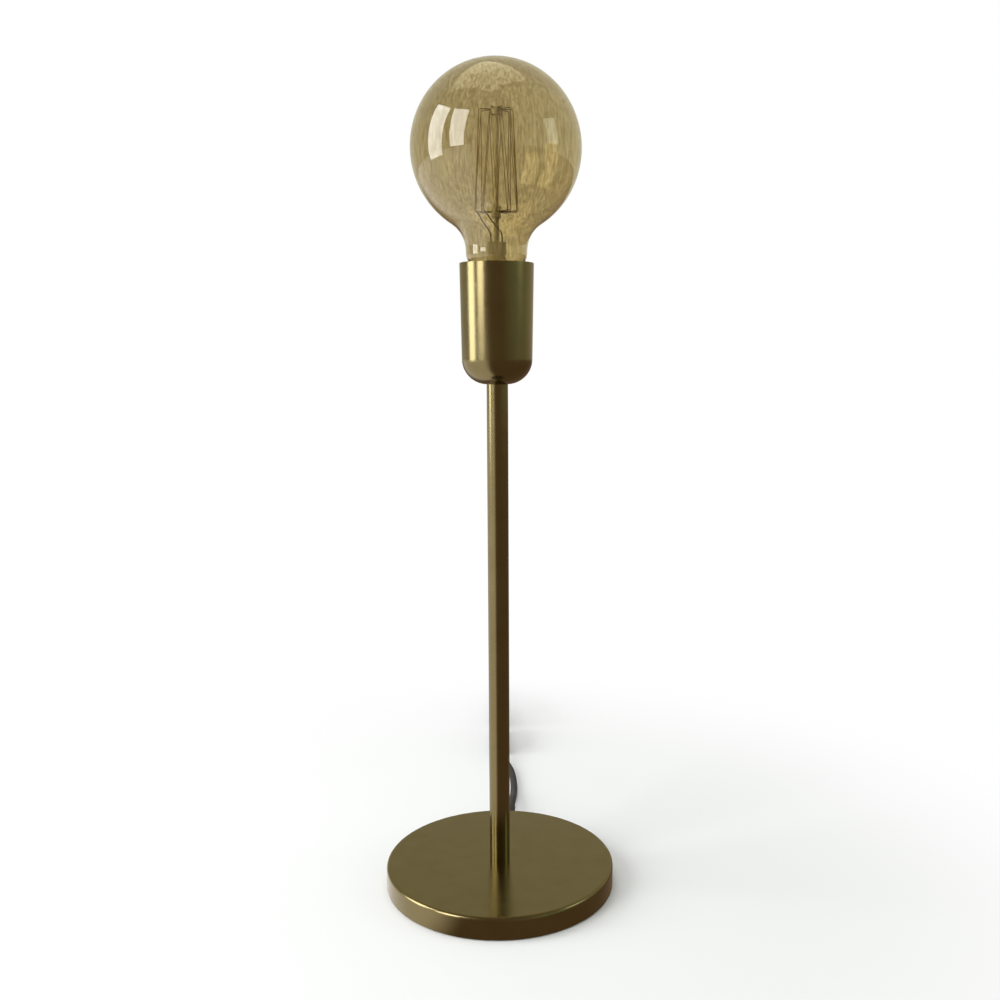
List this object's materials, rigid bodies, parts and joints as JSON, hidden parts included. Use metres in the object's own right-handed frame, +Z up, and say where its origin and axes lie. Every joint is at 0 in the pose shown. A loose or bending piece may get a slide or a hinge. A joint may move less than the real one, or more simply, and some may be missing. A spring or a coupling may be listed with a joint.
{
  "type": "table lamp",
  "caption": "Bare bulb table lamp: satin brass disc base, thin stem and cup holder with a screw-in globe bulb, and a tied cord with switch and plug behind.",
  "frame": {"origin": "on the table, at the middle of the round base", "axes": "+Z up along the stem, +Y to the back where the cord leaves, +X to the right seen from the front"},
  "size_m": [0.14, 0.51, 0.4854],
  "materials": {
    "satin_brass": "satin brushed and lacquered brass finish",
    "cast_weight": "as cast, dark",
    "foot_foam": "fine foam rubber",
    "zinc_steel": "zinc plated steel",
    "bright_brass": "bare stamped brass",
    "holder_moulding": "black moulded thermoset",
    "cap_metal": "rolled bright cap metal",
    "cap_glass": "dark fused insulator",
    "amber_glass": "amber tinted blown glass",
    "clear_glass": "clear glass tube",
    "support_wire": "drawn support wire",
    "carbon_filament": "carbonised thread",
    "cord_braid": "black woven braid over round flexible cord",
    "core_insulation": "core insulation",
    "black_moulding": "black moulded plastic",
    "soft_moulding": "flexible black moulding"
  },
  "bodies": {
    "lamp": {"base_cover": "satin_brass", "base_weight": "cast_weight", "base_pad": "foot_foam", "base_washer": "zinc_steel", "base_nut": "zinc_steel", "cord_clamp": "zinc_steel", "clamp_screws": "zinc_steel", "threaded_tube": "zinc_steel", "stem_tube": "satin_brass", "cup": "satin_brass", "cup_washer": "zinc_steel", "cup_nut": "zinc_steel", "holder_base": "holder_moulding", "terminal_block": "holder_moulding", "terminal_screws": "bright_brass", "holder_barrel": "holder_moulding", "thread_shell": "bright_brass", "centre_contact": "bright_brass", "side_contact": "bright_brass", "live_core": "core_insulation", "neutral_core": "core_insulation", "inner_sheath": "cord_braid", "strain_relief": "soft_moulding", "cord_free": "cord_braid", "cord_hank": "cord_braid", "hank_tie": "soft_moulding", "switch_case": "black_moulding", "switch_lid": "black_moulding", "rocker_pin": "zinc_steel", "switch_contacts": "bright_brass", "plug_body": "black_moulding", "plug_blades": "bright_brass", "plug_boot": "soft_moulding"},
    "bulb_carrier": {"cap_insulator": "cap_glass", "cap_contact": "bright_brass"},
    "bulb": {"bulb_glass": "amber_glass", "bulb_cap": "cap_metal", "glass_mount": "clear_glass", "exhaust_tube": "clear_glass", "glass_rod": "clear_glass", "filament": "carbon_filament", "low_hooks": "support_wire", "top_hooks": "support_wire", "lead_wires": "support_wire"},
    "rocker": {"rocker": "black_moulding"}
  },
  "joints": [
    {"name": "bulb_lift", "type": "slide", "parent": "lamp", "child": "bulb_carrier", "axis": [0, 0, 1], "range_m": [0, 0.0164]},
    {"name": "bulb_turn", "type": "hinge", "parent": "bulb_carrier", "child": "bulb", "pos_m": [0, 0, 0.36], "axis": [0, 0, 1], "range_deg": [0, 1620]},
    {"name": "rocker_tilt", "type": "hinge", "parent": "lamp", "child": "rocker", "pos_m": [0.0058, 0.227, 0.01], "axis": [0, 0, 1], "range_deg": [-16, 0]}
  ],
  "couplings": [
    {"joint": "bulb_lift", "follows": "bulb_turn", "m_per_rad": 0.00057757}
  ]
}
